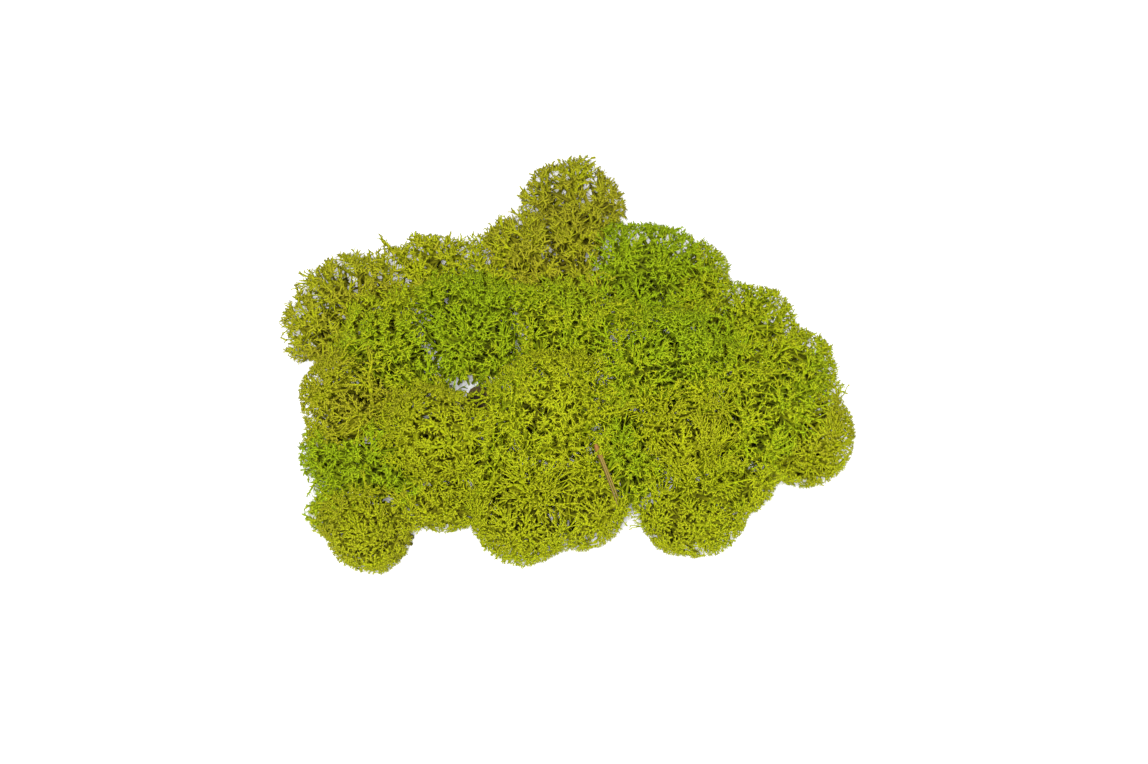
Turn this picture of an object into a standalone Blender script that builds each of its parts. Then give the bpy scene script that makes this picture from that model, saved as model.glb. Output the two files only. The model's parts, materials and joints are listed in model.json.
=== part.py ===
"""A clump of preserved reindeer lichen ("reindeer moss"), cut off flat where it grew.

The clump is a bunch of rounded lichen heads that grew against each other. Each head is one
plain closed solid that reaches the tips of its twigs. Where two heads meet, a flat face
parts them. Every head is cut off flat at the ground. A pair of dry pine needles lies on the
front slope, and a flake of bark is caught in the pit behind the middle heads.

Metres, +Z up, +X along the clump's long side. The origin is the middle of its box, on the
ground.
"""

import math
from collections import namedtuple

import bmesh
import bpy
from mathutils import Euler, Matrix, Vector

MM = 0.001
GROUND = Vector((0, 0, 0))
DOWN = Vector((0, 0, -1))

# Between two pieces that touch.
GAP = 0.3 * MM

# A head is an ellipsoid whose lower half is drawn down past the ground, so that the cut
# leaves it a foot narrower than its waist.
FOOT_DRAW = 1.25
# Outward lean of a head that is a rim radius from the middle, in mm for each mm of height.
RIM_LEAN = 0.22
RIM_RADIUS = 80.0
SPHERE_SIDES = 16
SPHERE_RINGS = 9
# Two heads whose centres are further apart than this, times their reach, can't meet.
MEETING_REACH = 1.3
# A cut this near a corner goes through the corner, and shorter edges are closed up.
CUT_SNAP = 0.02 * MM
SLIVER = 0.05 * MM
HALVINGS = 40
SHARP_EDGE = math.radians(35)

# The dry pine needles lie together as one rod, wider at the sheath than at the tips. Places
# and sizes in mm.
NEEDLE_SHEATH_END = (10.9, -46.2, 29.0)
NEEDLE_TIP_END = (17.7, -65.0, 26.5)
NEEDLE_WIDTH = 1.5
NEEDLE_DEPTH = 0.9
NEEDLE_TIP_SCALE = 0.5
NEEDLE_SIDES = 10

# The flake of bark, flat side up, tipped into the pit. Places and sizes in mm.
FLAKE_CENTRE = (-27.0, -21.5, 16.0)
FLAKE_SIZE = (12.0, 8.5, 1.8)
FLAKE_TURN = (math.radians(24), math.radians(-10), math.radians(20))
FLAKE_TOP_SCALE = 0.84
FLAKE_SIDES = 9

# One row for each head: its waist's centre x, y and height z, then its half width and half
# depth at the waist and the rise of its crown above it, all in mm, and its tint.
Head = namedtuple("Head", "name x y z wide deep rise tint")
HEADS = (
    Head("front_left_head", -61.5, -68.5, 14, 13.5, 14.5, 15, "olive"),
    Head("low_left_tuft", -73, -59, 7, 9.5, 10, 8, "green"),
    Head("left_hollow_head", -60, -43.5, 12, 18.5, 15, 13, "green"),
    Head("left_rim_head", -76, -38.5, 9, 9.5, 9.5, 10, "green"),
    Head("left_crown_head", -71, -25, 22, 14.5, 15, 16, "olive"),
    Head("centre_left_head", -39.5, -39.5, 26, 16.5, 16.5, 18, "olive"),
    Head("front_small_head", -38.5, -56, 9, 13, 10, 10, "yellow_green"),
    Head("front_centre_head", -12.5, -61.5, 15, 17.5, 19.5, 17, "yellow_green"),
    Head("front_notch_head", 7, -55.5, 13, 14.5, 19, 15, "yellow_green"),
    Head("centre_head", -5, -30.5, 27, 19, 19, 18, "yellow_green"),
    Head("centre_gap_head", -22.5, -43, 17, 9, 15, 13, "green"),
    Head("valley_head", 21, -40, 15, 14, 20, 13, "green"),
    Head("right_crown_head", 38.5, -37, 26, 15.5, 13, 14, "olive"),
    Head("front_right_head", 41.5, -62, 13, 18, 15, 15, "yellow_green"),
    Head("front_right_knob", 58.5, -49.5, 10, 11, 10, 11, "yellow_green"),
    Head("far_right_head", 80, -35.5, 15, 14.5, 17, 16, "olive"),
    Head("right_head", 65.5, -27.5, 21, 18, 20, 16, "yellow_green"),
    Head("right_shoulder_head", 74, -9, 15, 17, 16, 14, "yellow_green"),
    Head("upper_right_head", 59.5, 9, 14, 17, 15, 13, "yellow_green"),
    Head("right_back_head", 33, -11, 25, 22, 18.5, 16, "green"),
    Head("top_right_head", 28, 32, 13, 17, 18, 13, "green"),
    Head("top_right_edge_tuft", 46, 30.5, 9, 11.5, 13, 9, "green"),
    Head("top_spire_tuft", 3.5, 63, 7, 19, 19.5, 8, "olive"),
    Head("top_centre_tuft", -1, 34, 11, 19.5, 16.5, 11, "olive"),
    Head("spire_foot_tuft", -18.5, 46, 6, 8.5, 10, 7, "olive"),
    Head("top_notch_tuft", -26, 32.5, 7, 10.5, 10, 7, "olive"),
    Head("upper_centre_head", 0.5, 6, 19, 20, 15, 14, "green"),
    Head("upper_left_head", -32.5, 5, 17, 21, 21, 14, "green"),
    Head("top_left_tuft", -46.5, 36, 9, 13, 12.5, 10, "olive"),
    Head("left_top_tuft", -71, 23, 10, 18, 17, 11, "olive"),
    Head("left_side_tuft", -82, 9, 9, 12, 16, 10, "olive"),
    Head("left_back_head", -56.5, -5, 19, 17, 21, 14, "green"),
)

TINTS = {
    "green": (0.20, 0.30, 0.012),
    "yellow_green": (0.26, 0.31, 0.014),
    "olive": (0.25, 0.25, 0.016),
}
NEEDLE_COLOUR = (0.23, 0.15, 0.05)
BARK_COLOUR = (0.05, 0.03, 0.012)


def clear_scene():
    for thing in list(bpy.data.objects):
        bpy.data.objects.remove(thing, do_unlink=True)


def matte_material(name, colour, roughness=0.9):
    material = bpy.data.materials.new(name)
    material.use_nodes = True
    shader = material.node_tree.nodes["Principled BSDF"]
    shader.inputs["Base Color"].default_value = (*colour, 1.0)
    shader.inputs["Roughness"].default_value = roughness
    shader.inputs["Metallic"].default_value = 0.0
    return material


def add_object(name, bm, material):
    """Makes the bmesh one object, shaded smooth but for its cut edges."""
    mesh = bpy.data.meshes.new(name)
    bm.to_mesh(mesh)
    bm.free()
    mesh.shade_smooth()
    mesh.set_sharp_from_angle(angle=SHARP_EDGE)
    mesh.materials.append(material)
    thing = bpy.data.objects.new(name, mesh)
    bpy.context.scene.collection.objects.link(thing)
    return thing


def centre_of(head):
    return Vector((head.x, head.y, head.z)) * MM


def half_axes(head, above):
    """The ellipsoid's half axes, above its waist or below it."""
    height = head.rise if above else head.z * FOOT_DRAW
    return Vector((head.wide, head.deep, height)) * MM


def lean_of(head):
    """How far a head leans sideways for each unit of height, outwards from the middle."""
    return Vector((head.x, head.y)) * (RIM_LEAN / RIM_RADIUS)


def unlean(head, point):
    """The point, from the head's centre, in the head's own upright shape."""
    offset = point - centre_of(head)
    offset.xy -= lean_of(head) * offset.z
    return offset


def level(head, point):
    """1 on the head's skin, under 1 inside it."""
    offset = unlean(head, point)
    axes = half_axes(head, offset.z > 0)
    return sum((offset[i] / axes[i]) ** 2 for i in range(3))


def slope(head, point):
    """The direction in which the level rises fastest."""
    offset = unlean(head, point)
    axes = half_axes(head, offset.z > 0)
    grown = Vector([offset[i] / axes[i] ** 2 for i in range(3)])
    grown.z -= grown.xy.dot(lean_of(head))
    return grown


def parting_plane(head, other):
    """A point and a normal of the flat face between two heads, the normal towards the other."""
    start, end = centre_of(head), centre_of(other)
    near, far = 0.0, 1.0
    for _ in range(HALVINGS):
        middle = (near + far) / 2
        point = start.lerp(end, middle)
        if level(head, point) < level(other, point):
            near = middle
        else:
            far = middle
    point = start.lerp(end, (near + far) / 2)
    return point, (slope(head, point) - slope(other, point)).normalized()


def cut_off(bm, point, normal):
    """Takes away what lies past the plane, and closes the cut with one flat face."""
    everything = bm.verts[:] + bm.edges[:] + bm.faces[:]
    bmesh.ops.bisect_plane(
        bm, geom=everything, dist=CUT_SNAP, plane_co=point, plane_no=normal, clear_outer=True
    )
    rim = [edge for edge in bm.edges if edge.is_boundary]
    if rim:
        bmesh.ops.holes_fill(bm, edges=rim, sides=0)


def head_shape(head):
    """The whole head before its neighbours and the ground cut it."""
    bm = bmesh.new()
    bmesh.ops.create_uvsphere(
        bm, u_segments=SPHERE_SIDES, v_segments=SPHERE_RINGS, radius=1.0
    )
    lean = lean_of(head)
    for vert in bm.verts:
        axes = half_axes(head, vert.co.z > 0)
        vert.co = Vector([vert.co[i] * axes[i] for i in range(3)])
        vert.co.xy += lean * vert.co.z
    bmesh.ops.translate(bm, verts=bm.verts[:], vec=centre_of(head))
    return bm


def can_meet(head, other):
    reach = max(head.wide, head.deep) + max(other.wide, other.deep)
    return (centre_of(other) - centre_of(head)).length < reach * MEETING_REACH * MM


def make_head(head, material):
    bm = head_shape(head)
    cut_off(bm, GROUND, DOWN)
    for other in HEADS:
        if other is head or not can_meet(head, other):
            continue
        point, normal = parting_plane(head, other)
        cut_off(bm, point - normal * GAP / 2, normal)
    bmesh.ops.dissolve_degenerate(bm, dist=SLIVER, edges=bm.edges[:])
    bmesh.ops.triangulate(bm, faces=bm.faces[:])
    bmesh.ops.recalc_face_normals(bm, faces=bm.faces[:])
    return add_object(head.name, bm, material)


def make_needles(material):
    """One flattened rod, a little wider at the sheath than at the tips."""
    start, end = (Vector(place) * MM for place in (NEEDLE_SHEATH_END, NEEDLE_TIP_END))
    bm = bmesh.new()
    bmesh.ops.create_cone(
        bm, cap_ends=True, segments=NEEDLE_SIDES, radius1=0.5, radius2=0.5 * NEEDLE_TIP_SCALE,
        depth=1.0,
    )
    along = end - start
    size = Matrix.Diagonal((NEEDLE_WIDTH * MM, NEEDLE_DEPTH * MM, along.length, 1))
    turn = along.to_track_quat("Z", "Y").to_matrix().to_4x4()
    place = Matrix.Translation((start + end) / 2)
    bmesh.ops.transform(bm, matrix=place @ turn @ size, verts=bm.verts[:])
    return add_object("pine_needles", bm, material)


def make_bark_flake(material):
    """A thin chip with a sloping rim."""
    bm = bmesh.new()
    bmesh.ops.create_cone(
        bm, cap_ends=True, segments=FLAKE_SIDES, radius1=0.5, radius2=0.5 * FLAKE_TOP_SCALE,
        depth=1.0,
    )
    size = Matrix.Diagonal((*(side * MM for side in FLAKE_SIZE), 1))
    tip, roll, spin = FLAKE_TURN
    turn = Euler((tip, roll, spin)).to_matrix().to_4x4()
    place = Matrix.Translation(Vector(FLAKE_CENTRE) * MM)
    bmesh.ops.transform(bm, matrix=place @ turn @ size, verts=bm.verts[:])
    return add_object("bark_flake", bm, material)


def centre_on_origin(pieces):
    """Puts the middle of the whole clump's box on the Z axis."""
    points = [vert.co for piece in pieces for vert in piece.data.vertices]
    middle = [(min(p[i] for p in points) + max(p[i] for p in points)) / 2 for i in (0, 1)]
    for piece in pieces:
        piece.data.transform(Matrix.Translation((-middle[0], -middle[1], 0)))


def main():
    clear_scene()
    lichen = {tint: matte_material("lichen_" + tint, colour) for tint, colour in TINTS.items()}
    pieces = [make_head(head, lichen[head.tint]) for head in HEADS]
    pieces.append(make_needles(matte_material("dry_needle", NEEDLE_COLOUR, 0.6)))
    pieces.append(make_bark_flake(matte_material("bark", BARK_COLOUR)))
    centre_on_origin(pieces)


main()
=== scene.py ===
"""The looks of the reindeer lichen clump.

Each head is grown as a tree: stems rise from its foot, fork again and again, and end in small
stars of pointed twigs that reach the skin of the head's plain solid. The needles and the bark
flake are modelled in full. Metres, in the frame of the plain model.
"""

import json
import math
from collections import namedtuple

import bmesh
import bpy
import numpy as np
from mathutils import Matrix, Vector, kdtree, noise
from mathutils.bvhtree import BVHTree


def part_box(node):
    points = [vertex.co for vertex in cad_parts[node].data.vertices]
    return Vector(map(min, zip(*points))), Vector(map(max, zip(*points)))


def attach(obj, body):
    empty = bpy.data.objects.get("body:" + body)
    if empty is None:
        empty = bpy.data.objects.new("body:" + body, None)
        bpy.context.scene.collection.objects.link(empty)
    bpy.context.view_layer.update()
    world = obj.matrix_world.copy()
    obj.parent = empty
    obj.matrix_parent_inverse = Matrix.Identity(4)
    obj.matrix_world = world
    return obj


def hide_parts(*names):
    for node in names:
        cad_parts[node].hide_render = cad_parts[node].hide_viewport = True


MM = 0.001
SEED = 41

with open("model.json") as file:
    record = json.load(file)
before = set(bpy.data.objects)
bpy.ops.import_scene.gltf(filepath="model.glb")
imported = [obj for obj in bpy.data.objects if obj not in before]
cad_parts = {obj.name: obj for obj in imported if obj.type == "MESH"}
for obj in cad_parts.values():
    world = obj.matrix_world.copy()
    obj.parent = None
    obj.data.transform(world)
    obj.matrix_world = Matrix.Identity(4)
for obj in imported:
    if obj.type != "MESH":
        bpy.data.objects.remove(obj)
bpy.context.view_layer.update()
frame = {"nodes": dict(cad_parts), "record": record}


# ---------------------------------------------------------------- how the heads grow

# spacing: between two stars on the skin, in mm
# star: size of a star against the usual one
# ragged: how far a star stands in or out of the skin, in mm
# lobe, part: width of the small lobes that the skin is gathered in, and how deep they part, in mm
# under: spacing of the plain stars just below the skin, in mm
# holes: small holes in the skin, in each square centimetre
# stout: thickness of the twigs against the usual one
# old: spacing of the old stems low in the head, in mm
# swell: how far the skin swells and sinks, in mm
# upright: how squarely the stars stand on the skin; at 0 they follow their twigs
Habit = namedtuple(
    "Habit", "spacing star ragged lobe part under holes stout old swell upright"
)
HABITS = {
    "tight": Habit(1.12, 0.64, 0.12, 6.5, 0.3, 2.05, 0.1, 0.9, 1.25, 1.2, 1.6),
    "loose": Habit(1.34, 0.82, 0.3, 8.0, 0.5, 2.2, 0.4, 1.0, 1.25, 2.4, 0.7),
    "open": Habit(1.5, 1.0, 1.1, 8.0, 1.0, 2.5, 0.6, 1.2, 2.2, 3.8, 0.4),
}

# tone: 0 bright green, 0.5 yellow-green, 1 olive
# lean_in: how far the stems start from the foot's middle towards the clump's middle
Growth = namedtuple("Growth", "head habit tone lean_in")
GROWTHS = (
    Growth("front_left_head", "tight", 0.70, 0.3),
    Growth("low_left_tuft", "loose", 0.25, 0.6),
    Growth("left_hollow_head", "loose", 0.20, 0.2),
    Growth("left_rim_head", "loose", 0.30, 0.5),
    Growth("left_crown_head", "tight", 0.80, 0.3),
    Growth("centre_left_head", "tight", 0.60, 0.0),
    Growth("front_small_head", "tight", 0.60, 0.4),
    Growth("front_centre_head", "tight", 0.60, 0.3),
    Growth("front_notch_head", "tight", 0.55, 0.3),
    Growth("centre_head", "loose", 0.50, 0.0),
    Growth("centre_gap_head", "loose", 0.45, 0.0),
    Growth("valley_head", "loose", 0.30, 0.0),
    Growth("right_crown_head", "tight", 0.60, 0.0),
    Growth("front_right_head", "tight", 0.50, 0.3),
    Growth("front_right_knob", "loose", 0.50, 0.4),
    Growth("far_right_head", "tight", 0.65, 0.4),
    Growth("right_head", "loose", 0.35, 0.0),
    Growth("right_shoulder_head", "loose", 0.45, 0.4),
    Growth("upper_right_head", "loose", 0.40, 0.3),
    Growth("right_back_head", "loose", 0.25, 0.0),
    Growth("top_right_head", "loose", 0.10, 0.4),
    Growth("top_right_edge_tuft", "loose", 0.30, 0.6),
    Growth("top_spire_tuft", "open", 0.85, 0.9),
    Growth("top_centre_tuft", "open", 0.85, 0.5),
    Growth("spire_foot_tuft", "open", 0.80, 0.9),
    Growth("top_notch_tuft", "open", 0.60, 0.8),
    Growth("upper_centre_head", "loose", 0.35, 0.0),
    Growth("upper_left_head", "loose", 0.20, 0.1),
    Growth("top_left_tuft", "open", 0.70, 0.8),
    Growth("left_top_tuft", "open", 0.80, 0.7),
    Growth("left_side_tuft", "open", 0.80, 0.8),
    Growth("left_back_head", "loose", 0.35, 0.0),
)
SLOTS = ("green_lichen", "yellow_green_lichen", "olive_lichen")

TWIG_RADIUS = 0.20 * MM
THICKENING = 0.32
THICKEST = 1.1 * MM
STEM_SPREAD = 0.55
FIRST_STEMS = 7
FORK_AT = (0.30, 0.46)
FORK_PARTS = (2, 3, 3, 4)
KEEPS_WAY = 0.25
WAY_STRAY = 0.10
FACING_STRAY = 0.18
STAR_SIZES = (0.85, 1.2)
FLOOR_CLEARANCE = 0.8 * MM
SWELL_WIDTH = 11 * MM
LOBE_EDGE = 0.62
HOLE_WIDTH = 0.9
UNDER_DEPTH = (0.9, 2.4)
TWIG_STRAY = 0.5 * MM
STALK_LEAST = 0.5 * MM
LIMB_FLOOR = 0.4 * MM

# Old stems: how thick and how long they are, and how far out from the foot they end: closer
# to the outside where the head stands beside another.
OLD_STEM_RADIUS = 0.8 * MM
OLD_STEM_REACH = 11 * MM
OLD_STEM_DRAWN = (0.3, 0.88)
OLD_STEM_BESIDE = (0.4, 0.95)
# How far up the colour ramp an old stem's end climbs for each metre of height: younger growth and
# less painted shade higher up, darker near the floor.
OLD_STEM_AGE_AND_SHADE_RISE = 0.008 / MM
OLD_STEM_BEND = 0.15
OLD_STEM_STRAY = 0.12
OLD_STEM_END = 1.0 * MM
OLD_STEM_FLOOR = 0.8 * MM
BESIDE = 5 * MM

# Neighbouring heads merge over this much of the crease between them: the full blend on top and
# in the valleys between heads, less down the clump's rim and beside the pit. Walls that face
# each other over a gap as small as PRESSED_GAP are pressed together, and carry bare twigs only.
CREASE_BLEND = 15 * MM
RIM_BLEND = 3 * MM
PRESSED_GAP = 0.7 * MM
FACING = -0.3
VALLEY_BLEND = 1.4
MOST_LIFT = 12 * MM
SEAM_SPACING = 2.9 * MM
LEAST_LIFT = 0.05 * MM
STEPS_OUT = 6
EYE_GAP = 0.2 * MM

# The pit over the bark flake: how wide and how deep it is, how much wider its lip is, and the
# way it opens.
PIT_REACH = 3.6 * MM
PIT_DEPTH = 20 * MM
PIT_LIP = 1.2
PIT_WAY = np.array((0, -0.5, 0.87))

# Ways to look out from a twig: straight up, and round at two heights. A star with fewer of
# its looks free than OPEN_SHARE has more room, up to HIDDEN_ROOM times as much.
LOOKS = [(0, 0, 1)] + [
    (math.cos(turn) * math.cos(rise), math.sin(turn) * math.cos(rise), math.sin(rise))
    for rise in (math.radians(50), math.radians(20))
    for turn in np.arange(6) * math.pi / 3 + rise
]

OPEN_SHARE = 0.12
HIDDEN_ROOM = 2.0
UNDERSIDE_ROOM = 1.6

# Level ways round, and how many of them are free at the clump's rim.
ROUND = [Vector((math.cos(turn), math.sin(turn), 0)) for turn in np.arange(24) * math.pi / 12]
FREE_AT_RIM = 2


def numbers_of(thing):
    """The vertices and the triangles of a mesh object, as arrays."""
    mesh = thing.data
    mesh.calc_loop_triangles()
    places = np.empty(len(mesh.vertices) * 3, np.float32)
    mesh.vertices.foreach_get("co", places)
    corners = np.empty(len(mesh.loop_triangles) * 3, np.int32)
    mesh.loop_triangles.foreach_get("vertices", corners)
    return places.reshape(-1, 3).astype(float), corners.reshape(-1, 3)


def unit(vectors):
    lengths = np.linalg.norm(vectors, axis=-1, keepdims=True)
    return vectors / np.maximum(lengths, 1e-12)


def scattered(places, corners, each, rng):
    """Random points spread evenly over the triangles, one for each so much area, and normals."""
    a, b, c = (places[corners[:, i]] for i in range(3))
    cross = np.cross(b - a, c - a)
    areas = np.linalg.norm(cross, axis=1) / 2
    picked = rng.choice(len(corners), int(areas.sum() / each), p=areas / areas.sum())
    u, v = rng.random((2, len(picked)))
    over = u + v > 1
    u[over], v[over] = 1 - u[over], 1 - v[over]
    points = a[picked] + u[:, None] * (b - a)[picked] + v[:, None] * (c - a)[picked]
    return points, unit(cross[picked])


def search_tree(points):
    tree = kdtree.KDTree(len(points))
    for index, point in enumerate(points):
        tree.insert(point, index)
    tree.balance()
    return tree


def thinned(points, spacing):
    """The indices of the points that are left when each one clears its own space around it."""
    tree = search_tree(points)
    free = np.ones(len(points), bool)
    kept = []
    for index in range(len(points)):
        if free[index]:
            kept.append(index)
            for _, near, _ in tree.find_range(points[index], spacing[index]):
                free[near] = False
    return np.array(kept, int)


def distances(points, centres):
    """From each point to the nearest centre."""
    tree = search_tree(centres)
    return np.array([tree.find(point)[2] for point in points])


def swelling(points):
    """How far the skin swells out of a head's round shape, or sinks into it, up to 1."""
    return np.array([noise.noise(Vector(point) / SWELL_WIDTH) for point in points])


STAR, PLAIN_STAR, BARE_TWIG = range(3)


class Head:
    """The ends that a head's stems have to reach: where, which way they face, and what they are."""

    def __init__(self, growth, others, pit, rng):
        self.growth = growth
        self.habit = HABITS[growth.habit]
        self.rng = rng
        self.places, self.corners = numbers_of(frame["nodes"][growth.head])
        self.own = BVHTree.FromPolygons(self.places.tolist(), self.corners.tolist())
        self.others = others
        self.pit = pit
        skin, normals, room = self.skin()
        ends = [
            self.skin_stars(skin, normals, room), self.seam_twigs(),
            self.plain_stars(skin, normals, room),
        ]
        self.points, self.normals, self.kinds = (
            np.concatenate([end[i] for end in ends]) for i in range(3)
        )
        self.root = self.find_root()

    def skin(self):
        """Points all over the head's outside, and how much more room a star has at each."""
        habit = self.habit
        each = (habit.spacing * MM) ** 2 / 6
        points, normals = scattered(self.places, self.corners, each, self.rng)
        above = points[:, 2] > FLOOR_CLEARANCE
        self.shell = points[above]
        points, normals = self.grown_together(points[above], normals[above])
        points = points + normals * swelling(points)[:, None] * habit.swell * MM
        clear = self.off_pit(points) > PIT_REACH
        points, normals = points[clear], normals[clear]
        open_share = self.openness(points, normals)
        room = np.interp(open_share, (0.0, OPEN_SHARE), (HIDDEN_ROOM, 1.0))
        room *= np.where(normals[:, 2] < -0.15, UNDERSIDE_ROOM, 1.0)
        return points, normals, room

    def grown_together(self, points, normals):
        """Moves the points out of the creases, to where this head and the next one merge."""
        moved, facing, seam = [], [], []
        for start, normal in zip(points, normals):
            place, way, pressed = self.out_of_crease(Vector(start), Vector(normal))
            if pressed or (place - Vector(start)).length > MOST_LIFT:
                seam.append(start)
            else:
                moved.append(place)
                facing.append(way)
        self.seam = np.array(seam).reshape(-1, 3)
        return np.array(moved), np.array(facing)

    def seam_twigs(self):
        """Bare twigs along the sides where this head is pressed against another."""
        if not len(self.seam):
            return np.empty((0, 3)), np.empty((0, 3)), np.empty(0, int)
        kept = self.seam[thinned(self.seam, np.full(len(self.seam), SEAM_SPACING))]
        kept = kept + self.rng.normal(0, TWIG_STRAY, kept.shape)
        kept = kept[kept[:, 2] > FLOOR_CLEARANCE]
        return kept, np.tile((0, 0, 1.0), (len(kept), 1)), np.full(len(kept), BARE_TWIG)

    def old_ends(self):
        """Where the old stems end, spread evenly over the ground."""
        count = len(self.shell)
        beside = np.array([
            self.others.find_nearest(place, BESIDE)[0] is not None for place in self.shell
        ])
        further = self.rng.uniform(*OLD_STEM_BESIDE, count)
        drawn = np.where(beside, further, self.rng.uniform(*OLD_STEM_DRAWN, count))
        ends = self.root + (self.shell - self.root) * drawn[:, None]
        ends[:, 2] = np.maximum(ends[:, 2], OLD_STEM_END)
        return ends[thinned(ends * (1, 1, 0), np.full(count, self.habit.old * MM))]

    def out_of_crease(self, place, normal):
        """Where a point goes, which way it faces there, and whether it is pressed instead."""
        other, other_way, _, far = self.others.find_nearest(place)
        if far < PRESSED_GAP and normal.dot(other_way) < FACING:
            return place, normal, True
        blend = CREASE_BLEND
        if self.off_pit(np.array([place]))[0] < PIT_REACH * PIT_LIP:
            blend = RIM_BLEND
        elif far < CREASE_BLEND:
            upward = (normal + other_way).normalized().z * 2 - 0.4
            if upward < 1:
                upward = max(upward, self.enclosed(place + normal * EYE_GAP), 0)
                blend = RIM_BLEND + (CREASE_BLEND - RIM_BLEND) * upward
        way = normal
        for _ in range(STEPS_OUT):
            own, _, _, near = self.own.find_nearest(place)
            other, _, _, far = self.others.find_nearest(place)
            meeting = max(blend - abs(near - far), 0) / blend
            depth = meeting ** 2 * blend / 4 - min(near, far)
            if depth < LEAST_LIFT:
                break
            share = min(max(0.5 + 0.5 * (far - near) / blend, 0), 1)
            off_own = (place - own).normalized() if near > 1e-5 else normal
            off_other = (place - other).normalized()
            slope = off_own * share + off_other * (1 - share)
            way = slope.normalized()
            place = place + way * depth / max(slope.length, 0.35)
        return place, way, False

    def off_pit(self, points):
        """How far each point is from the middle line of the pit."""
        along = np.clip((points - self.pit) @ PIT_WAY, 0, PIT_DEPTH)
        return np.linalg.norm(points - self.pit - along[:, None] * PIT_WAY, axis=1)

    def enclosed(self, place):
        """VALLEY_BLEND where heads stand all round the place, 0 where it is open to one side."""
        free = sum(
            self.others.ray_cast(place, way)[0] is None
            and self.own.ray_cast(place, way)[0] is None
            for way in ROUND
        )
        return min(max((FREE_AT_RIM - free) / FREE_AT_RIM, 0), 1) * VALLEY_BLEND

    def openness(self, points, normals):
        """The share of the looks out from each point that meets no head."""
        eyes = points + normals * 0.6 * MM
        free = np.zeros(len(points))
        for look in LOOKS:
            out = normals @ np.array(look) > -0.1
            way = Vector(look)
            for index in np.flatnonzero(out):
                free[index] += self.others.ray_cast(eyes[index], way)[0] is None
        return free / len(LOOKS)

    def skin_stars(self, points, normals, room):
        """The stars on the skin, gathered in small lobes, with a few holes between them."""
        habit, rng = self.habit, self.rng
        kept = thinned(points, habit.spacing * MM * room)
        points, normals = points[kept], normals[kept]
        lobes = points[thinned(points, np.full(len(points), habit.lobe * MM))]
        edge = np.clip(distances(points, lobes) / (habit.lobe * MM * LOBE_EDGE), 0, 1)
        depth = habit.part * MM * edge ** 2
        depth += np.maximum(rng.normal(0, habit.ragged * MM, len(points)), -habit.ragged * MM)
        points = points - normals * depth[:, None]
        area = len(points) * habit.spacing ** 2 / 100
        holes = rng.random(len(points)) < habit.holes * area / len(points)
        if holes.any():
            in_hole = distances(points, points[holes]) < habit.spacing * HOLE_WIDTH * MM
            points, normals = points[~in_hole], normals[~in_hole]
        return points, normals, np.full(len(points), STAR)

    def plain_stars(self, points, normals, room):
        """The plain stars just below the skin."""
        rng = self.rng
        order = rng.permutation(len(points))
        points, normals, room = points[order], normals[order], room[order]
        kept = thinned(points, self.habit.under * MM * room)
        depth = rng.uniform(*UNDER_DEPTH, len(kept)) * MM
        inner = points[kept] - normals[kept] * depth[:, None]
        inner += rng.normal(0, TWIG_STRAY, inner.shape)
        above = inner[:, 2] > FLOOR_CLEARANCE
        return inner[above], normals[kept][above], np.full(above.sum(), PLAIN_STAR)

    def find_root(self):
        """Where the stems start, on the ground."""
        low = self.places[self.places[:, 2] < self.places[:, 2].min() + 1.0 * MM]
        middle = (low.min(0) + low.max(0)) / 2
        inward = -unit(middle * (1, 1, 0))
        reach = np.abs((low - middle) @ inward).max()
        return middle * (1, 1, 0) + inward * reach * self.growth.lean_in


# old, young: the colour ramp's place at a limb's start and end, darker by age and by painted shade
# deep in the clump
Limb = namedtuple("Limb", "start bend end thick thin old young")
Star = namedtuple("Star", "place way size kind")


def bundles(ways, parts, rng):
    """Sorts directions into bundles of neighbours: one number for each direction."""
    seeds = [int(rng.integers(len(ways)))]
    for _ in range(parts - 1):
        gap = np.min([np.linalg.norm(ways - ways[s], axis=1) for s in seeds], axis=0)
        seeds.append(int(gap.argmax()))
    centres = ways[seeds]
    for _ in range(4):
        labels = np.linalg.norm(ways[:, None] - centres[None], axis=2).argmin(1)
        centres = np.array([
            ways[labels == part].mean(0) if (labels == part).any() else centres[part]
            for part in range(parts)
        ])
    return labels


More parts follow.
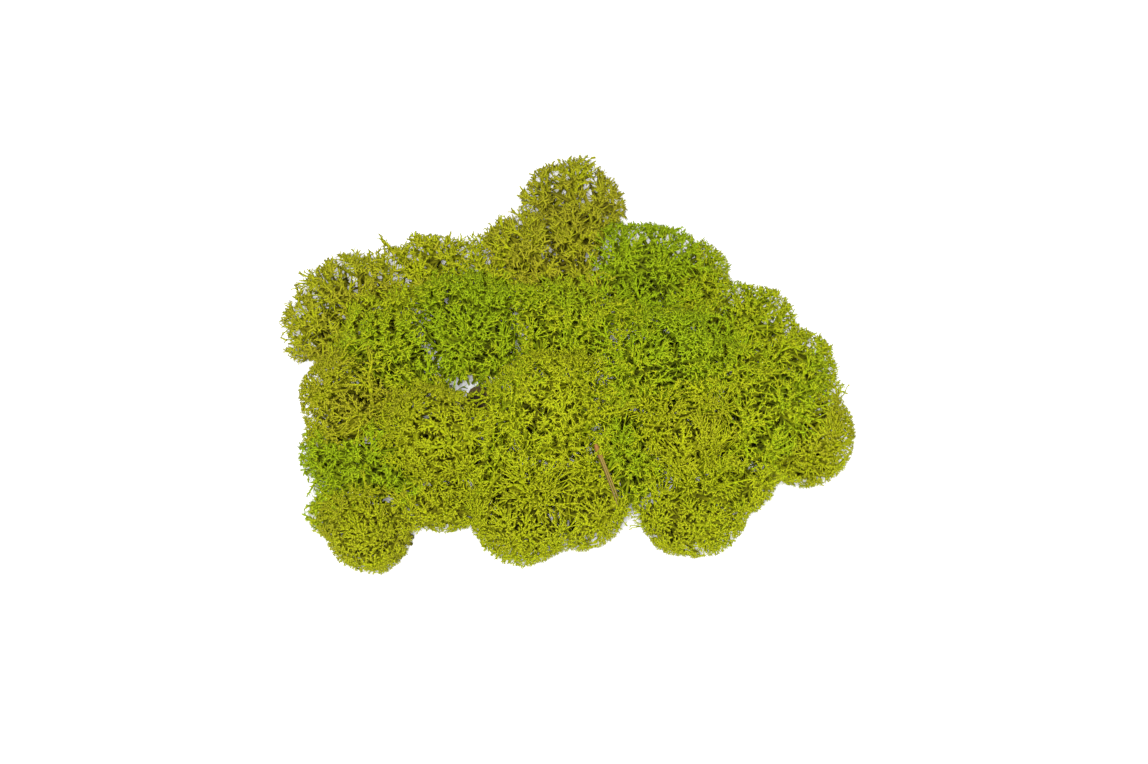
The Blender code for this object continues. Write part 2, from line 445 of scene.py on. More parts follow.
class Tree:
    """The stems and twigs of one head, forked until each reaches one end."""

    def __init__(self, head, rng):
        self.rng = rng
        self.head = head
        self.total = max(len(head.points), 2)
        self.limbs, self.old_limbs = [], []
        self.stars = []
        ways = unit(head.points - head.root)
        labels = bundles(ways, min(FIRST_STEMS, len(ways)), rng)
        for stem in range(labels.max() + 1):
            tips = np.flatnonzero(labels == stem)
            if len(tips):
                spread = (head.points[tips].mean(0) - head.root) * STEM_SPREAD * (1, 1, 0)
                start = head.root + spread
                self.grow(tips, start, np.array((0, 0, 1.0)) + spread / (20 * MM))
        self.add_old_stems()

    def radius(self, count):
        return min(TWIG_RADIUS * self.head.habit.stout * count ** THICKENING, THICKEST)

    # Limbs that carry many tips lie deeper in the head and sit lower on the colour ramp: darker by
    # age and by painted shade.
    def age_and_shade(self, count):
        return 0.82 - 0.72 * math.log(count) / math.log(self.total)

    def limb(self, start, way, end, count, taper=0.85):
        reach = np.linalg.norm(end - start)
        bend = start + unit(unit(way) + 0.9 * unit(end - start)) * reach * 0.5
        thick = self.radius(count) * 1.15
        self.limbs.append(
            Limb(start, bend, end, thick, thick * taper, self.age_and_shade(count) - 0.05, self.age_and_shade(count))
        )
        return unit(end - bend)

    def add_old_stems(self):
        """Old bare stems, tangled low in the head, roughly along the live ones near them."""
        rng = self.rng
        sturdy = [limb for limb in self.limbs if limb.thick > OLD_STEM_RADIUS * 0.8]
        starts = np.array([limb.end for limb in sturdy])
        ways = unit(np.array([limb.end - limb.bend for limb in sturdy]))
        for aim in self.head.old_ends():
            away = np.linalg.norm(starts - aim, axis=1)
            pick = rng.choice(np.argsort(away)[1:6])
            reach = unit(aim - starts[pick])
            if reach[:2] @ (aim - self.head.root)[:2] < 0:
                reach = -reach
            start = aim - unit(reach + unit(aim - self.head.root)) * OLD_STEM_REACH
            start[2] = max(start[2], OLD_STEM_FLOOR)
            third = (aim - start) / 3
            along = np.array([start, start + third, aim - third, aim])
            if self.head.off_pit(along).min() < PIT_REACH:
                continue
            bend = (start + aim) / 2 + ways[pick] * OLD_STEM_REACH * OLD_STEM_BEND
            bend += rng.normal(0, OLD_STEM_REACH * OLD_STEM_STRAY, 3)
            bend[2] = max(bend[2], OLD_STEM_FLOOR)
            thick = OLD_STEM_RADIUS * rng.uniform(0.8, 1.25)
            # Old stems sit at the dark base of the colour ramp: partly the brown of dead stems,
            # partly painted shade low in the clump.
            age_and_shade = rng.uniform(0.02, 0.12)
            upper_age_and_shade = age_and_shade + aim[2] * OLD_STEM_AGE_AND_SHADE_RISE
            self.old_limbs.append(Limb(start, bend, aim, thick, thick * 0.55, age_and_shade, upper_age_and_shade))

    def finish_twig(self, tip, start, way):
        """The last twig: bare, or with a star at its end."""
        head, rng = self.head, self.rng
        kind = head.kinds[tip]
        if kind == BARE_TWIG:
            self.limb(start, way, head.points[tip], 2, taper=0.5)
            return
        toward = head.points[tip] - start
        size = head.habit.star * rng.uniform(*STAR_SIZES)
        length = STAR_LENGTH * size
        upright = head.normals[tip] * head.habit.upright
        facing = unit(unit(toward) + upright + rng.normal(0, FACING_STRAY, 3))
        place = head.points[tip] - facing * length
        if np.linalg.norm(place - start) > STALK_LEAST:
            self.limb(start, way, place, 1)
        else:
            place = start
        self.stars.append(Star(place, facing, size, kind))

    def grow(self, tips, start, way):
        """Forks on from start until each twig reaches its own end."""
        head, rng = self.head, self.rng
        if len(tips) == 1:
            self.finish_twig(tips[0], start, way)
            return
        centre = head.points[tips].mean(0)
        toward = centre - start
        reach = np.linalg.norm(toward) * rng.uniform(*FORK_AT)
        aim = unit(unit(toward) + KEEPS_WAY * unit(way) + rng.normal(0, WAY_STRAY, 3))
        fork = start + aim * reach
        fork[2] = max(fork[2], LIMB_FLOOR)
        way = self.limb(start, way, fork, len(tips))
        if len(tips) <= 3:
            labels = np.arange(len(tips))
        else:
            parts = min(len(tips), int(rng.choice(FORK_PARTS)))
            labels = bundles(unit(head.points[tips] - fork), parts, rng)
        for part in range(labels.max() + 1):
            if (labels == part).any():
                self.grow(tips[labels == part], fork, way)


# ---------------------------------------------------------------- small shapes, copied often

def shape_of(bm):
    """The vertices and the faces of a bmesh, as arrays; the bmesh is spent."""
    bm.normal_update()
    bm.verts.index_update()
    places = np.array([vert.co[:] for vert in bm.verts])
    faces = [[vert.index for vert in face.verts] for face in bm.faces]
    sizes = np.array([len(face) for face in faces])
    corners = np.array([index for face in faces for index in face])
    bm.free()
    return places, sizes, corners


def tube_shape(sides, rings):
    """A closed tube one unit long and one in radius, cut into rings along its length."""
    bm = bmesh.new()
    bmesh.ops.create_cone(bm, cap_ends=True, segments=sides, radius1=1, radius2=1, depth=1)
    bmesh.ops.translate(bm, verts=bm.verts[:], vec=(0, 0, 0.5))
    for ring in range(1, rings):
        everything = bm.verts[:] + bm.edges[:] + bm.faces[:]
        bmesh.ops.bisect_plane(
            bm, geom=everything, plane_co=(0, 0, ring / rings), plane_no=(0, 0, 1)
        )
    return shape_of(bm)


STAR_LENGTH = 2.0 * MM
STALK_RADIUS = 0.21
STALK_LENGTH = 0.6
CROWN_FLARE = 1.75

# arms: how many arms a star has, how many of them fork, and whether the others end in twin tips
# slant: of the arms away from the stalk, in degrees
# arm, tip: the length of an arm up to its fork, and of a pointed tip, in mm
StarKind = namedtuple("StarKind", "arms slant arm tip")
STAR_KINDS = {
    "tight": StarKind(
        ((3, 0, 1), (4, 0, 0), (3, 1, 1)), (18, 56), (0.5, 0.9), (0.8, 1.3)
    ),
    "loose": StarKind(
        ((3, 0, 1), (3, 1, 1), (3, 2, 1), (4, 1, 0)), (24, 62), (0.6, 1.1), (0.9, 1.5)
    ),
    "open": StarKind(
        ((3, 1, 1), (3, 2, 0), (4, 1, 0), (3, 2, 1)), (30, 65), (0.7, 1.3), (0.8, 1.4)
    ),
    "plain": StarKind(
        ((3, 0, 0),), (25, 65), (0, 0), (1.2, 1.8)
    ),
}
TIP_ANGLE = (18, 36)


def move_face(bm, face, way, length, flare):
    """Moves a face out along a way, square to it, and makes it wider."""
    centre = face.calc_center_median()
    turn = face.normal.rotation_difference(way).to_matrix().to_4x4()
    around = Matrix.Translation(centre + way * length) @ turn @ Matrix.Scale(flare, 4)
    bmesh.ops.transform(bm, matrix=around @ Matrix.Translation(-centre), verts=list(face.verts))
    face.normal_update()


def slanted(turn, slant):
    return Vector((
        math.cos(turn) * math.sin(slant), math.sin(turn) * math.sin(slant), math.cos(slant)
    ))


def star_shape(kind, rng):
    """A last twig: a stalk that ends in pointed arms, some of them forked once more. In mm."""
    arms, forked, twin = kind.arms[rng.integers(len(kind.arms))]
    bm = bmesh.new()
    bmesh.ops.create_cone(
        bm, cap_ends=True, segments=arms, radius1=STALK_RADIUS,
        radius2=STALK_RADIUS * CROWN_FLARE, depth=STALK_LENGTH,
    )
    bmesh.ops.translate(bm, verts=bm.verts[:], vec=(0, 0, STALK_LENGTH / 2))
    bm.normal_update()
    crown = max(bm.faces, key=lambda face: face.calc_center_median().z)
    buds = bmesh.ops.poke(bm, faces=[crown], offset=0.08)["faces"]
    forks = set(rng.permutation(arms)[:forked])
    for number, bud in enumerate(buds):
        out = bud.calc_center_median()
        turn = math.atan2(out.y, out.x) + rng.normal(0, 0.2)
        way = slanted(turn, math.radians(rng.uniform(*kind.slant)))
        if number in forks:
            arm = bmesh.ops.extrude_discrete_faces(bm, faces=[bud])["faces"][0]
            arm.normal_update()
            move_face(bm, arm, way, rng.uniform(*kind.arm), 1.0)
            fork_arm(bm, arm, way, kind, rng)
        elif twin:
            fork_arm(bm, bud, way, kind, rng)
        else:
            point = bmesh.ops.poke(bm, faces=[bud])["verts"][0]
            point.co = out + way * rng.uniform(*kind.tip) * 1.2
    return shape_of(bm)


def fork_arm(bm, arm, way, kind, rng):
    """Ends an arm in two pointed tips."""
    end = arm.calc_center_median()
    for base in bmesh.ops.poke(bm, faces=[arm])["faces"][:2]:
        middle = base.calc_center_median()
        tilt = math.radians(rng.uniform(*TIP_ANGLE))
        tip_way = way * math.cos(tilt) + (middle - end).normalized() * math.sin(tilt)
        point = bmesh.ops.poke(bm, faces=[base])["verts"][0]
        point.co = middle + tip_way * rng.uniform(*kind.tip)


class Batch:
    """Many copies of small shapes, gathered as arrays and made one mesh."""

    def __init__(self):
        self.places, self.maps, self.sizes, self.corners = [], [], [], []
        self.count = 0

    def add(self, places, sizes, corners, maps):
        """Copies of one shape: places and maps hold one row of vertices for each copy."""
        copies, verts = places.shape[:2]
        steps = self.count + np.arange(copies) * verts
        self.places.append(places.reshape(-1, 3))
        self.maps.append(maps.reshape(-1, 2))
        self.sizes.append(np.tile(sizes, copies))
        self.corners.append((corners[None] + steps[:, None]).ravel())
        self.count += copies * verts

    def made(self, name, material):
        places, maps = np.concatenate(self.places), np.concatenate(self.maps)
        sizes, corners = np.concatenate(self.sizes), np.concatenate(self.corners)
        places[:, 2] = np.maximum(places[:, 2], 0)
        mesh = bpy.data.meshes.new(name)
        mesh.vertices.add(len(places))
        mesh.loops.add(len(corners))
        mesh.polygons.add(len(sizes))
        mesh.vertices.foreach_set("co", places.astype(np.float32).ravel())
        mesh.loops.foreach_set("vertex_index", corners.astype(np.int32))
        mesh.polygons.foreach_set("loop_start", (np.cumsum(sizes) - sizes).astype(np.int32))
        mesh.polygons.foreach_set("use_smooth", np.ones(len(sizes), bool))
        layer = mesh.uv_layers.new(name="OFBake")
        layer.data.foreach_set("uv", maps[corners].astype(np.float32).ravel())
        mesh.update(calc_edges=True)
        mesh.validate()
        mesh.materials.append(material)
        thing = bpy.data.objects.new(name, mesh)
        bpy.context.scene.collection.objects.link(thing)
        return thing


# How wide the drifts and patches of tone are, and how strong those and single twigs' tones are.
DRIFT_WIDTH, DRIFT_TONE = 22 * MM, 0.16
PATCH_WIDTH, PATCH_TONE = 5 * MM, 0.14
TWIG_TONE = 0.06
TONE_RANGE = (0.04, 0.96)


def tone_at(points, tone, rng):
    """The tone of each place: broad drifts, patches of a few millimetres, and single twigs."""
    aside = Vector((7, 0, 0))
    drift = np.array([noise.noise(Vector(p) / DRIFT_WIDTH) for p in points])
    patch = np.array([noise.noise(Vector(p) / PATCH_WIDTH + aside) for p in points])
    single = rng.normal(0, TWIG_TONE, len(points))
    return np.clip(tone + DRIFT_TONE * drift + PATCH_TONE * patch + single, *TONE_RANGE)


def add_limbs(batch, limbs, tone, shape, rng):
    """Bends a copy of the tube along each limb."""
    if not limbs:
        return
    places, sizes, corners = shape
    start, bend, end = (np.array([limb[i] for limb in limbs]) for i in range(3))
    thick, thin, old, young = np.array([limb[3:] for limb in limbs]).T
    along = places[:, 2][None, :, None]
    spine = (
        start[:, None] * (1 - along) ** 2
        + bend[:, None] * 2 * along * (1 - along)
        + end[:, None] * along ** 2
    )
    tangent = unit((bend - start)[:, None] * (1 - along) + (end - bend)[:, None] * along)
    side = unit(np.cross(end - start, rng.normal(0, 1, (len(limbs), 3))))[:, None]
    first = unit(side - tangent * (side * tangent).sum(2, keepdims=True))
    second = np.cross(tangent, first)
    radius = (thick[:, None] * (1 - along[..., 0]) + thin[:, None] * along[..., 0])[..., None]
    round_x, round_y = places[:, 0][None, :, None], places[:, 1][None, :, None]
    where = spine + radius * (first * round_x + second * round_y)
    age_and_shade = old[:, None] * (1 - along[..., 0]) + young[:, None] * along[..., 0]
    tones = tone_at((start + end) / 2, tone, rng)[:, None] + 0.03 * places[:, 0][None]
    batch.add(where, sizes, corners, np.stack([age_and_shade, np.broadcast_to(tones, age_and_shade.shape)], 2))


def add_stars(batch, stars, tone, shapes, rng):
    """Sets a copy of one of the shapes on each star's place, turned at random about its stalk."""
    picks = rng.integers(len(shapes), size=len(stars))
    for pick, (places, sizes, corners) in enumerate(shapes):
        mine = [star for star, which in zip(stars, picks) if which == pick]
        if not mine:
            continue
        origin = np.array([star.place for star in mine])
        axis = unit(np.array([star.way for star in mine]))
        size = np.array([star.size for star in mine])[:, None, None]
        side = unit(np.cross(axis, rng.normal(0, 1, axis.shape)))
        turn = np.stack([side, np.cross(axis, side), axis], 1)
        where = origin[:, None] + np.einsum("vi,cij->cvj", places * MM, turn) * size
        reach = np.linalg.norm(places, axis=1)
        age_and_shade = 0.80 + 0.18 * reach / reach.max()
        tones = tone_at(origin, tone, rng)[:, None] + 0.03 * np.sin(places[:, 0] * 5)[None]
        ages = np.broadcast_to(age_and_shade[None], (len(mine), len(age_and_shade)))
        batch.add(where, sizes, corners, np.stack([ages, np.broadcast_to(tones, ages.shape)], 2))


# ---------------------------------------------------------------- materials

class Value:
    """A node's output that can stand in a sum, so that shader maths reads as Python."""

    def __init__(self, maker, socket):
        self.maker, self.socket = maker, socket

    def _maths(self, operation, a, b):
        return self.maker.node("ShaderNodeMath", {"operation": operation}, {0: a, 1: b})

    def __add__(self, other):
        return self._maths("ADD", self, other)

    def __rsub__(self, other):
        return self._maths("SUBTRACT", other, self)

    def __mul__(self, other):
        return self._maths("MULTIPLY", self, other)

    __radd__, __rmul__ = __add__, __mul__

    def between(self, low, high):
        """0 at low, 1 at high, smooth between them."""
        return self.maker.node(
            "ShaderNodeMapRange", {"interpolation_type": "SMOOTHSTEP"},
            {"Value": self, "From Min": low, "From Max": high},
        )


class Finish:
    """A material and the nodes that make it."""

    def __init__(self, name):
        self.material = bpy.data.materials.new(name)
        self.material.use_nodes = True
        self.tree = self.material.node_tree
        self.shader = self.tree.nodes["Principled BSDF"]

    def node(self, kind, settings=None, sockets=None, output=0):
        made = self.tree.nodes.new(kind)
        for name, setting in (settings or {}).items():
            if name == "stops":
                self.set_stops(made.color_ramp, setting)
            else:
                setattr(made, name, setting)
        for name, value in (sockets or {}).items():
            self.feed(made.inputs[name], value)
        return Value(self, made.outputs[output])

    def set_stops(self, ramp, stops):
        for number, (place, colour) in enumerate(stops):
            stop = ramp.elements[number] if number < 2 else ramp.elements.new(place)
            stop.position, stop.color = place, (*colour, 1)

    def feed(self, socket, value):
        if isinstance(value, Value):
            self.tree.links.new(value.socket, socket)
        else:
            socket.default_value = value

    def mix(self, share, a, b):
        return self.node(
            "ShaderNodeMix", {"data_type": "RGBA"}, {0: share, 6: a, 7: b}, output=2
        )

    def set(self, **sockets):
        for name, value in sockets.items():
            self.feed(self.shader.inputs[name.replace("_", " ")], value)


def rgba(colour):
    return (*colour, 1.0)


# Down the twig from its old base to its tip, for a green, a yellow-green and an olive one. The dark
# low end is partly the browner old base and partly painted shade deep inside the clump.
GREEN = ((0.0, (0.05, 0.055, 0.002)), (0.2, (0.15, 0.20, 0.002)), (0.5, (0.20, 0.28, 0.002)),
         (0.85, (0.215, 0.305, 0.003)), (1.0, (0.225, 0.30, 0.007)))
YELLOW = ((0.0, (0.07, 0.062, 0.003)), (0.2, (0.21, 0.225, 0.002)), (0.5, (0.28, 0.31, 0.002)),
          (0.85, (0.30, 0.33, 0.004)), (1.0, (0.305, 0.325, 0.009)))
OLIVE = ((0.0, (0.07, 0.055, 0.004)), (0.2, (0.19, 0.18, 0.004)), (0.5, (0.245, 0.235, 0.006)),
         (0.85, (0.26, 0.25, 0.009)), (1.0, (0.262, 0.24, 0.015)))


def lichen_finish(name):
    """Matte dyed lichen. The map runs from the old base to the tip, and from green to olive; the
    darker base end is partly old growth and partly painted shade deep in the clump.
    """
    finish = Finish(name)
    place = finish.node("ShaderNodeUVMap", {"uv_map": "OFBake"})
    split = {"Vector": place}
    age_and_shade = finish.node("ShaderNodeSeparateXYZ", sockets=split, output=0)
    tone = finish.node("ShaderNodeSeparateXYZ", sockets=split, output=1)
    ramps = [
        finish.node("ShaderNodeValToRGB", {"stops": stops}, {"Fac": age_and_shade})
        for stops in (GREEN, YELLOW, OLIVE)
    ]
    colour = finish.mix(tone.between(0.1, 0.5), ramps[0], ramps[1])
    colour = finish.mix(tone.between(0.5, 0.95), colour, ramps[2])
    grain = finish.node("ShaderNodeTexCoord", output=3)
    fine = finish.node("ShaderNodeTexNoise", sockets={"Vector": grain, "Scale": 2500, "Detail": 3})
    rough = 0.78 + 0.14 * (1 - age_and_shade)
    bump = finish.node(
        "ShaderNodeBump", sockets={"Height": fine, "Strength": 0.25, "Distance": 0.0001}
    )
    finish.set(Base_Color=colour, Roughness=rough, Normal=bump)
    finish.set(Specular_IOR_Level=0.1)
    return finish.material


# ---------------------------------------------------------------- the whole clump

STAR_VARIANTS = 12
LIMB_TONE = -0.12
# Limbs from here on have more sides, and long ones are cut once more.
MIDDLING_LIMB = 0.42 * MM
THICK_LIMB = 0.8 * MM
LONG_LIMB = 5 * MM


def grow_clump():
    shape_rng = np.random.default_rng(SEED)
    stars = {
        name: [star_shape(kind, shape_rng) for _ in range(STAR_VARIANTS)]
        for name, kind in STAR_KINDS.items()
    }
    finishes = {slot: lichen_finish(slot) for slot in SLOTS}
    slot_of = {part["node"]: part["material_slot"] for part in frame["record"]["subparts"]}
    solids = {growth.head: numbers_of(frame["nodes"][growth.head]) for growth in GROWTHS}
    pit = middle_of("bark_flake")
    for number, growth in enumerate(GROWTHS):
        rng = np.random.default_rng(SEED + 100 + number)
        others = others_of(growth.head, solids)
        tree = Tree(Head(growth, others, pit, rng), rng)
        batch = Batch()
        add_twigs(batch, tree.limbs, growth.tone + LIMB_TONE, rng)
        add_limbs(batch, tree.old_limbs, growth.tone + LIMB_TONE, tube_shape(3, 2), rng)
        for kind, name in ((STAR, growth.habit), (PLAIN_STAR, "plain")):
            mine = [star for star in tree.stars if star.kind == kind]
            add_stars(batch, mine, growth.tone, stars[name], rng)
        slot = slot_of[growth.head]
        piece = batch.made(growth.head + "_lichen", finishes[slot])
        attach(piece, "root")
        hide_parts(growth.head)


def middle_of(node):
    low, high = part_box(node)
    return (np.array(low) + np.array(high)) / 2


def add_twigs(batch, limbs, tone, rng):
    """Thin and short tubes have fewer faces."""
    thick = np.array([limb.thick for limb in limbs])
    long = np.array([np.linalg.norm(limb.end - limb.start) for limb in limbs]) > LONG_LIMB
    middling = (thick >= MIDDLING_LIMB) & (thick < THICK_LIMB)
    for these, (sides, rings) in (
        (thick < MIDDLING_LIMB, (3, 1)), (middling & ~long, (4, 1)), (middling & long, (4, 2)),
        (thick >= THICK_LIMB, (5, 2)),
    ):
        mine = [limbs[index] for index in np.flatnonzero(these)]
        add_limbs(batch, mine, tone, tube_shape(sides, rings), rng)


def others_of(name, solids):
    """A search tree of all the other heads' solids."""
    points, faces, count = [], [], 0
    for other, (places, corners) in solids.items():
        if other != name:
            points.append(places)
            faces.append(corners + count)
            count += len(places)
    return BVHTree.FromPolygons(np.concatenate(points).tolist(), np.concatenate(faces).tolist())


# ---------------------------------------------------------------- needles and bark

NEEDLE_WIDTH = 0.8 * MM
NEEDLE_DEPTH = 0.9 * MM
NEEDLE_SIDES = 14
NEEDLE_RINGS = 12
NEEDLE_TAPER = 0.5
NEEDLE_POINT = 0.88
NEEDLE_PARTING = 0.3 * MM
NEEDLE_BOW = 0.5 * MM
SHEATH_LENGTH = 2.6 * MM
SHEATH_RADIUS = 0.92 * MM
SHEATH_SIDES = 12

FLAKE_SIDES = 30
FLAKE_RINGS = 4
FLAKE_RAGGED = 0.3
FLAKE_LAYER = 0.16


def ends_of(node):
    """The middles of a long solid's two ends, the one further back first."""
    points = numbers_of(frame["nodes"][node])[0]
    centre = points.mean(0)
    points -= centre
    along = points @ np.linalg.svd(points)[2][0]
    ends = [Vector(centre + points[half].mean(0)) for half in (along < 0, along > 0)]
    return sorted(ends, key=lambda end: -end.y)


def all_of(bm):
    return bm.verts[:] + bm.edges[:] + bm.faces[:]


def add_needle(bm, side, length):
    """One half-round needle up Z, its flat face towards its twin, drawn out to a point."""
    needle = bmesh.new()
    bmesh.ops.create_cone(
        needle, cap_ends=True, segments=NEEDLE_SIDES, radius1=1, radius2=NEEDLE_TAPER, depth=1
    )
    bmesh.ops.translate(needle, verts=needle.verts[:], vec=(0, 0, 0.5))
    bmesh.ops.bisect_plane(
        needle, geom=all_of(needle), plane_co=(0, 0, 0), plane_no=(-side, 0, 0), clear_outer=True
    )
    bmesh.ops.holes_fill(needle, edges=[edge for edge in needle.edges if edge.is_boundary])
    for ring in range(1, NEEDLE_RINGS):
        bmesh.ops.bisect_plane(
            needle, geom=all_of(needle), plane_co=(0, 0, ring / NEEDLE_RINGS), plane_no=(0, 0, 1)
        )
    for vert in needle.verts:
        along = vert.co.z
        narrow = 1 - 0.85 * max(along - NEEDLE_POINT, 0) / (1 - NEEDLE_POINT)
        vert.co.x *= NEEDLE_WIDTH * narrow
        vert.co.x += side * (0.03 * MM + NEEDLE_PARTING * along ** 2)
        vert.co.y = vert.co.y * NEEDLE_DEPTH / 2 * narrow + NEEDLE_BOW * 4 * along * (1 - along)
        vert.co.z *= length
    join(bm, needle)


def add_sheath(bm):
    """The papery collar that holds the needles' feet."""
    sheath = bmesh.new()
    bmesh.ops.create_cone(
        sheath, cap_ends=True, segments=SHEATH_SIDES, radius1=SHEATH_RADIUS * 0.7,
        radius2=SHEATH_RADIUS, depth=SHEATH_LENGTH,
    )
    sheath.normal_update()
    lip = max(sheath.faces, key=lambda face: face.calc_center_median().z)
    bmesh.ops.inset_region(sheath, faces=[lip], thickness=0.12 * MM)
    bmesh.ops.translate(sheath, verts=list(lip.verts), vec=(0, 0, -0.5 * MM))
    for number, vert in enumerate(sheath.verts):
        vert.co.z += 0.22 * MM * math.sin(number * 2.4)
    join(bm, sheath)


def join(bm, added):
    """Adds one bmesh to another; the added one is spent."""
    mesh = bpy.data.meshes.new("joined")
    added.to_mesh(mesh)
    added.free()
    bm.from_mesh(mesh)
    bpy.data.meshes.remove(mesh)


def add_piece(name, bm, material, node):
    bmesh.ops.recalc_face_normals(bm, faces=bm.faces[:])
    mesh = bpy.data.meshes.new(name)
    bm.to_mesh(mesh)
    bm.free()
    mesh.shade_smooth()
    mesh.set_sharp_from_angle(angle=math.radians(50))
    mesh.materials.append(material)
    piece = bpy.data.objects.new(name, mesh)
    bpy.context.scene.collection.objects.link(piece)
    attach(piece, "root")
    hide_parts(node)


def make_needles():
    start, end = ends_of("pine_needles")
    along = end - start
    turn = along.to_track_quat("Z", "Y").to_matrix().to_4x4()
    bm = bmesh.new()
    add_needle(bm, -1, along.length)
    add_needle(bm, 1, along.length * 0.93)
    add_sheath(bm)
    bmesh.ops.transform(bm, matrix=Matrix.Translation(start) @ turn, verts=bm.verts[:])
    finish = needle_finish(start, along, turn.to_3x3() @ Vector((1, 0, 0)))
    add_piece("needle_pair", bm, finish, "pine_needles")


def needle_finish(start, along, across):
    """Dry needles: lengthwise streaks, a dark edge, and a redder sheath."""
    finish = Finish("dry_needle")
    place = finish.node("ShaderNodeTexCoord", output=3)
    off = finish.node("ShaderNodeVectorMath", {"operation": "SUBTRACT"}, {0: place, 1: start})
    way, side = along / along.length_squared, across / NEEDLE_WIDTH
    down = finish.node("ShaderNodeVectorMath", {"operation": "DOT_PRODUCT"}, {0: off, 1: way}, 1)
    over = finish.node("ShaderNodeVectorMath", {"operation": "DOT_PRODUCT"}, {0: off, 1: side}, 1)
    streaked = finish.node("ShaderNodeCombineXYZ", sockets={"X": over * 5, "Y": down * 4})
    streak = finish.node(
        "ShaderNodeTexNoise", sockets={"Vector": streaked, "Scale": 2, "Detail": 4}
    )
    dark, pale = rgba((0.13, 0.09, 0.012)), rgba((0.24, 0.17, 0.035))
    edge, sheath = rgba((0.075, 0.042, 0.006)), rgba((0.22, 0.10, 0.025))
    colour = finish.mix(streak.between(0.3, 0.7), dark, pale)
    colour = finish.mix(over.between(-0.25, -0.75), colour, edge)
    colour = finish.mix(down.between(0.22, 0.08), colour, sheath)
    bump = finish.node(
        "ShaderNodeBump", sockets={"Height": streak, "Strength": 0.4, "Distance": 0.0002}
    )
    finish.set(Base_Color=colour, Roughness=0.45 + 0.25 * streak, Normal=bump)
    finish.set(Specular_IOR_Level=0.3)
    return finish.material


def make_flake():
    """A ragged chip of bark in thin layers."""
    points = numbers_of(frame["nodes"]["bark_flake"])[0]
    centre = points.mean(0)
    axes = np.linalg.svd(points - centre)[2]
    axes[2] *= np.sign(axes[2][2])
    axes[1] = np.cross(axes[2], axes[0])
    size = np.ptp((points - centre) @ axes.T, axis=0)
    bm = bmesh.new()
    bmesh.ops.create_cone(
        bm, cap_ends=True, segments=FLAKE_SIDES, radius1=0.44, radius2=0.5, depth=0.6
    )
    bm.normal_update()
    caps = [face for face in bm.faces if abs(face.normal.z) > 0.9]
    for cap in caps:
        for _ in range(FLAKE_RINGS):
            bmesh.ops.inset_region(bm, faces=[cap], thickness=0.09)
    bmesh.ops.poke(bm, faces=caps)
    for vert in bm.verts:
        turn = Vector((vert.co.x, vert.co.y, 0)).normalized() * 1.7
        ragged = 1 + FLAKE_RAGGED * noise.noise(turn) + 0.12 * noise.noise(turn * 4)
        vert.co.x *= ragged
        vert.co.y *= ragged
        vert.co.z += 0.35 * noise.noise(vert.co * 5)
    bm.normal_update()
    layer = [
        face for face in bm.faces
        if face.normal.z > 0.5 and noise.noise(face.calc_center_median() * 4) > 0.02
    ]
    raised = bmesh.ops.extrude_face_region(bm, geom=layer)["geom"]
    bmesh.ops.delete(bm, geom=layer, context="FACES_ONLY")
    lifted = [item for item in raised if isinstance(item, bmesh.types.BMVert)]
    bmesh.ops.translate(bm, verts=lifted, vec=(0, 0, FLAKE_LAYER))
    stretch = Matrix.Diagonal((*size, 1))
    turn = Matrix(axes.T.tolist()).to_4x4()
    bmesh.ops.transform(bm, matrix=Matrix.Translation(centre) @ turn @ stretch, verts=bm.verts[:])
    add_piece("bark_chip", bm, bark_finish(), "bark_flake")


def bark_finish():
    """Dark brown bark, paler where its layers are worn."""
    finish = Finish("bark")
    place = finish.node("ShaderNodeTexCoord", output=3)
    coarse = finish.node("ShaderNodeTexNoise", sockets={"Vector": place, "Scale": 450, "Detail": 5})
    cracks = finish.node("ShaderNodeTexVoronoi", sockets={"Vector": place, "Scale": 700})
    worn = coarse.between(0.35, 0.7)
    colour = finish.mix(worn, rgba((0.016, 0.010, 0.003)), rgba((0.055, 0.036, 0.011)))
    relief = coarse * 0.7 + cracks * 0.5
    bump = finish.node(
        "ShaderNodeBump", sockets={"Height": relief, "Strength": 0.6, "Distance": 0.0004}
    )
    finish.set(Base_Color=colour, Roughness=0.75 + 0.2 * coarse, Normal=bump)
    finish.set(Specular_IOR_Level=0.2)
    return finish.material


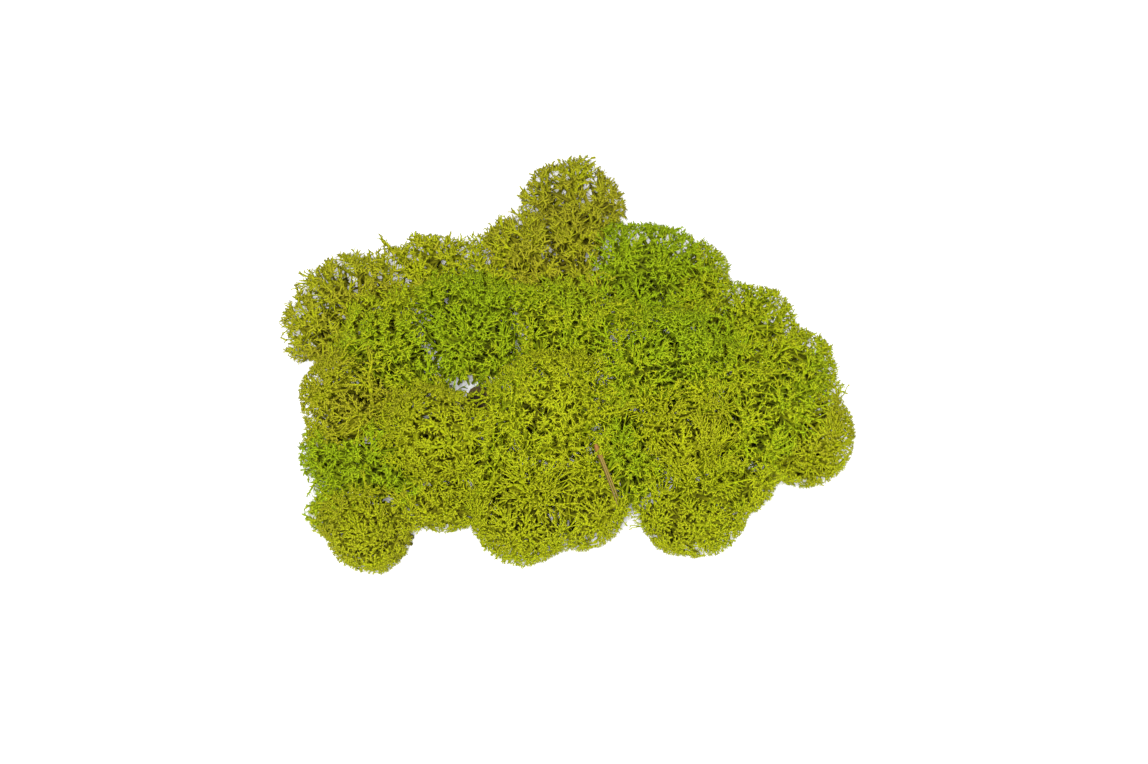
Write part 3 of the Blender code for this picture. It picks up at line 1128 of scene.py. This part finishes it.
# ---------------------------------------------------------------- studio

AIM = Vector((3.3, -12.0, 12.2)) * MM
VIEW_ELEVATION = math.radians(60)
VIEW_DISTANCE = 0.684
LENS = 65


def aim_at(thing, place, target):
    thing.location = place
    thing.rotation_euler = (target - place).to_track_quat("-Z", "Y").to_euler()
    bpy.context.scene.collection.objects.link(thing)


def set_camera():
    camera = bpy.data.objects.new("camera", bpy.data.cameras.new("camera"))
    camera.data.lens = LENS
    camera.data.clip_start = 0.01
    back = Vector((0, -math.cos(VIEW_ELEVATION), math.sin(VIEW_ELEVATION)))
    aim_at(camera, AIM + back * VIEW_DISTANCE, AIM)
    bpy.context.scene.camera = camera


def add_light(name, place, size, energy):
    light = bpy.data.lights.new(name, "AREA")
    light.shape, light.size, light.energy = "DISK", size, energy
    aim_at(bpy.data.objects.new(name, light), Vector(place), AIM)


def set_studio():
    bm = bmesh.new()
    bmesh.ops.create_grid(bm, x_segments=1, y_segments=1, size=3.0)
    mesh = bpy.data.meshes.new("floor")
    bm.to_mesh(mesh)
    bm.free()
    floor = bpy.data.objects.new("floor", mesh)
    bpy.context.scene.collection.objects.link(floor)
    paper = Finish("white_paper")
    fibre = paper.node("ShaderNodeTexNoise", sockets={
        "Vector": paper.node("ShaderNodeTexCoord", output=3), "Scale": 60, "Detail": 4
    })
    paper.set(Base_Color=paper.mix(fibre, rgba((0.86, 0.86, 0.86)), rgba((0.9, 0.9, 0.9))))
    paper.set(Roughness=0.9, Specular_IOR_Level=0.1)
    mesh.materials.append(paper.material)
    add_light("key", (-0.05, -0.5, 0.9), 0.25, 17)
    add_light("fill", (0.3, -0.35, 0.9), 0.9, 4)
    world = bpy.data.worlds.new("world")
    world.use_nodes = True
    background = world.node_tree.nodes["Background"]
    background.inputs["Color"].default_value = rgba((1, 1, 1))
    background.inputs["Strength"].default_value = 0.6
    bpy.context.scene.world = world
    bpy.context.scene.view_settings.view_transform = "Standard"


set_camera()
set_studio()
grow_clump()
make_needles()
make_flake()
